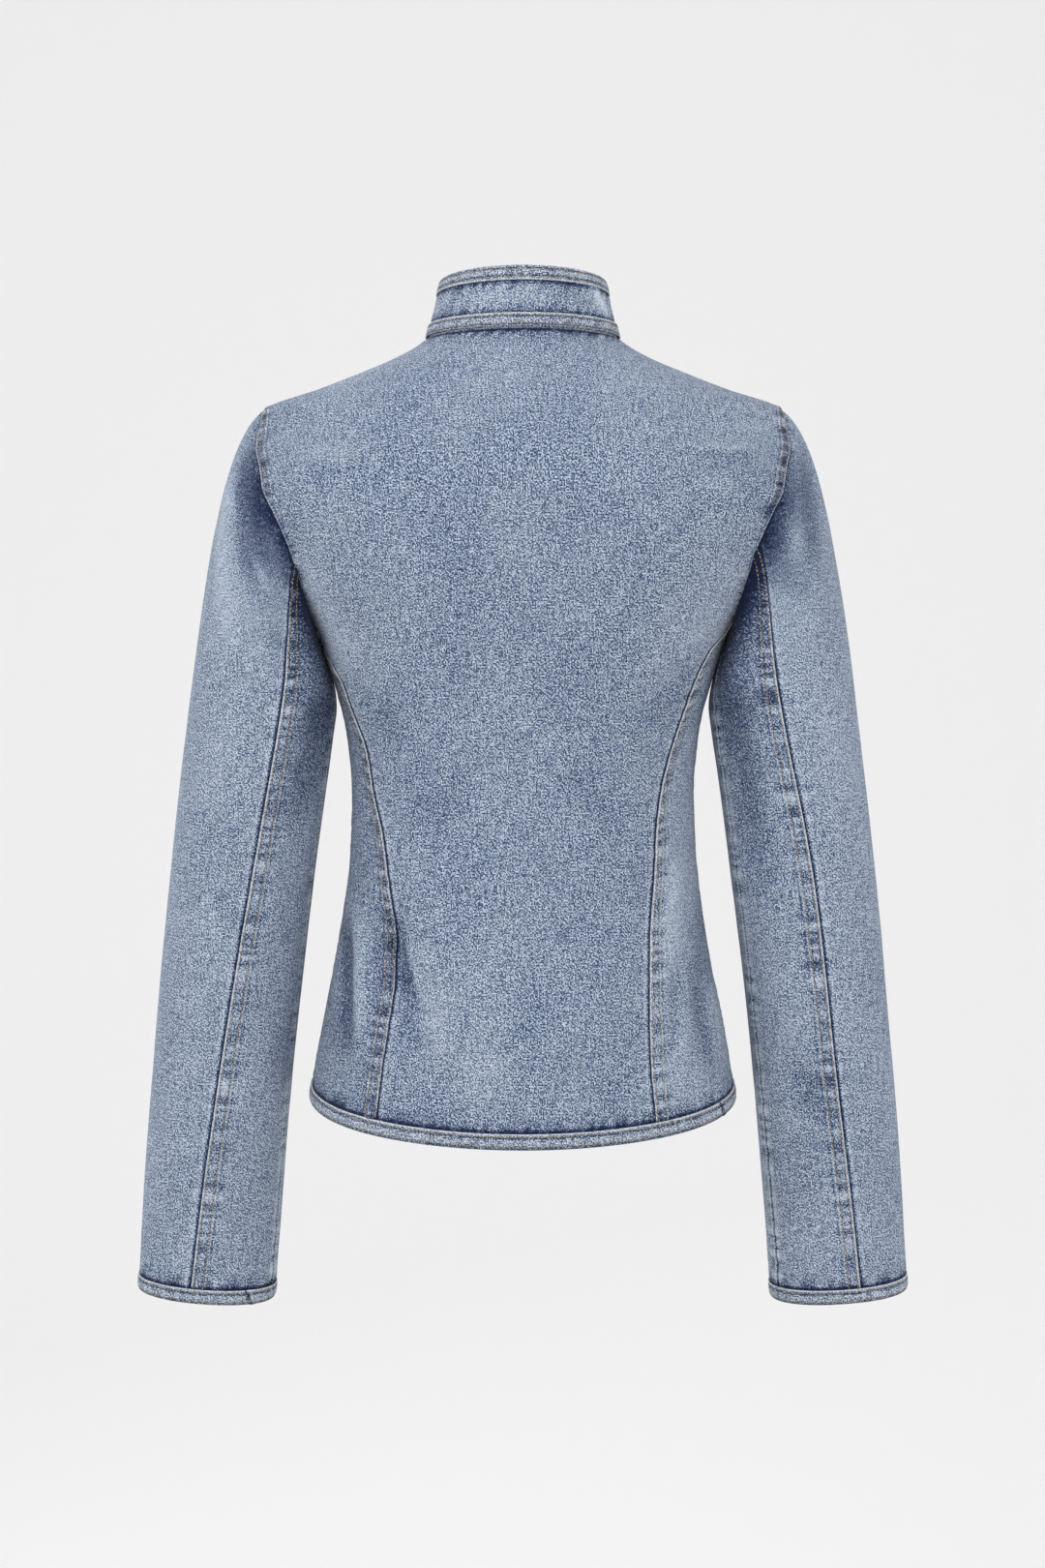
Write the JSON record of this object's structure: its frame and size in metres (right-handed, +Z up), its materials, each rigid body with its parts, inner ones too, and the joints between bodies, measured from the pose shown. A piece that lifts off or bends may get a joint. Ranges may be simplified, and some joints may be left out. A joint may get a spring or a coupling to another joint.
{
  "type": "denim jacket",
  "caption": "Fitted denim jacket with a stand collar, curved back seams, long two-piece sleeves and bound edges, in the hollow form it has when worn.",
  "frame": {"origin": "midway between the two high points of the shoulders, where the neck seam crosses the shoulder line", "axes": "+Z up along the body, -Y the way the wearer faces, +X the wearer's left"},
  "size_m": [0.5386, 0.2445, 0.7098],
  "materials": {
    "denim": "washed light blue twill, matt",
    "trim": "washed light blue twill cut as bindings, matt",
    "metal": "dull, slightly worn"
  },
  "bodies": {
    "root": {"back_panel": "denim", "side_back_left": "denim", "side_front_left": "denim", "front_left": "denim", "sleeve_top_left": "denim", "sleeve_under_left": "denim", "cuff_binding_left": "trim", "side_back_right": "denim", "side_front_right": "denim", "front_right": "denim", "sleeve_top_right": "denim", "sleeve_under_right": "denim", "cuff_binding_right": "trim", "collar": "denim", "neck_band": "trim", "collar_binding": "trim", "hem_binding": "trim", "button_1": "metal", "button_2": "metal", "button_3": "metal", "button_4": "metal", "button_5": "metal", "button_6": "metal"}
  },
  "joints": []
}
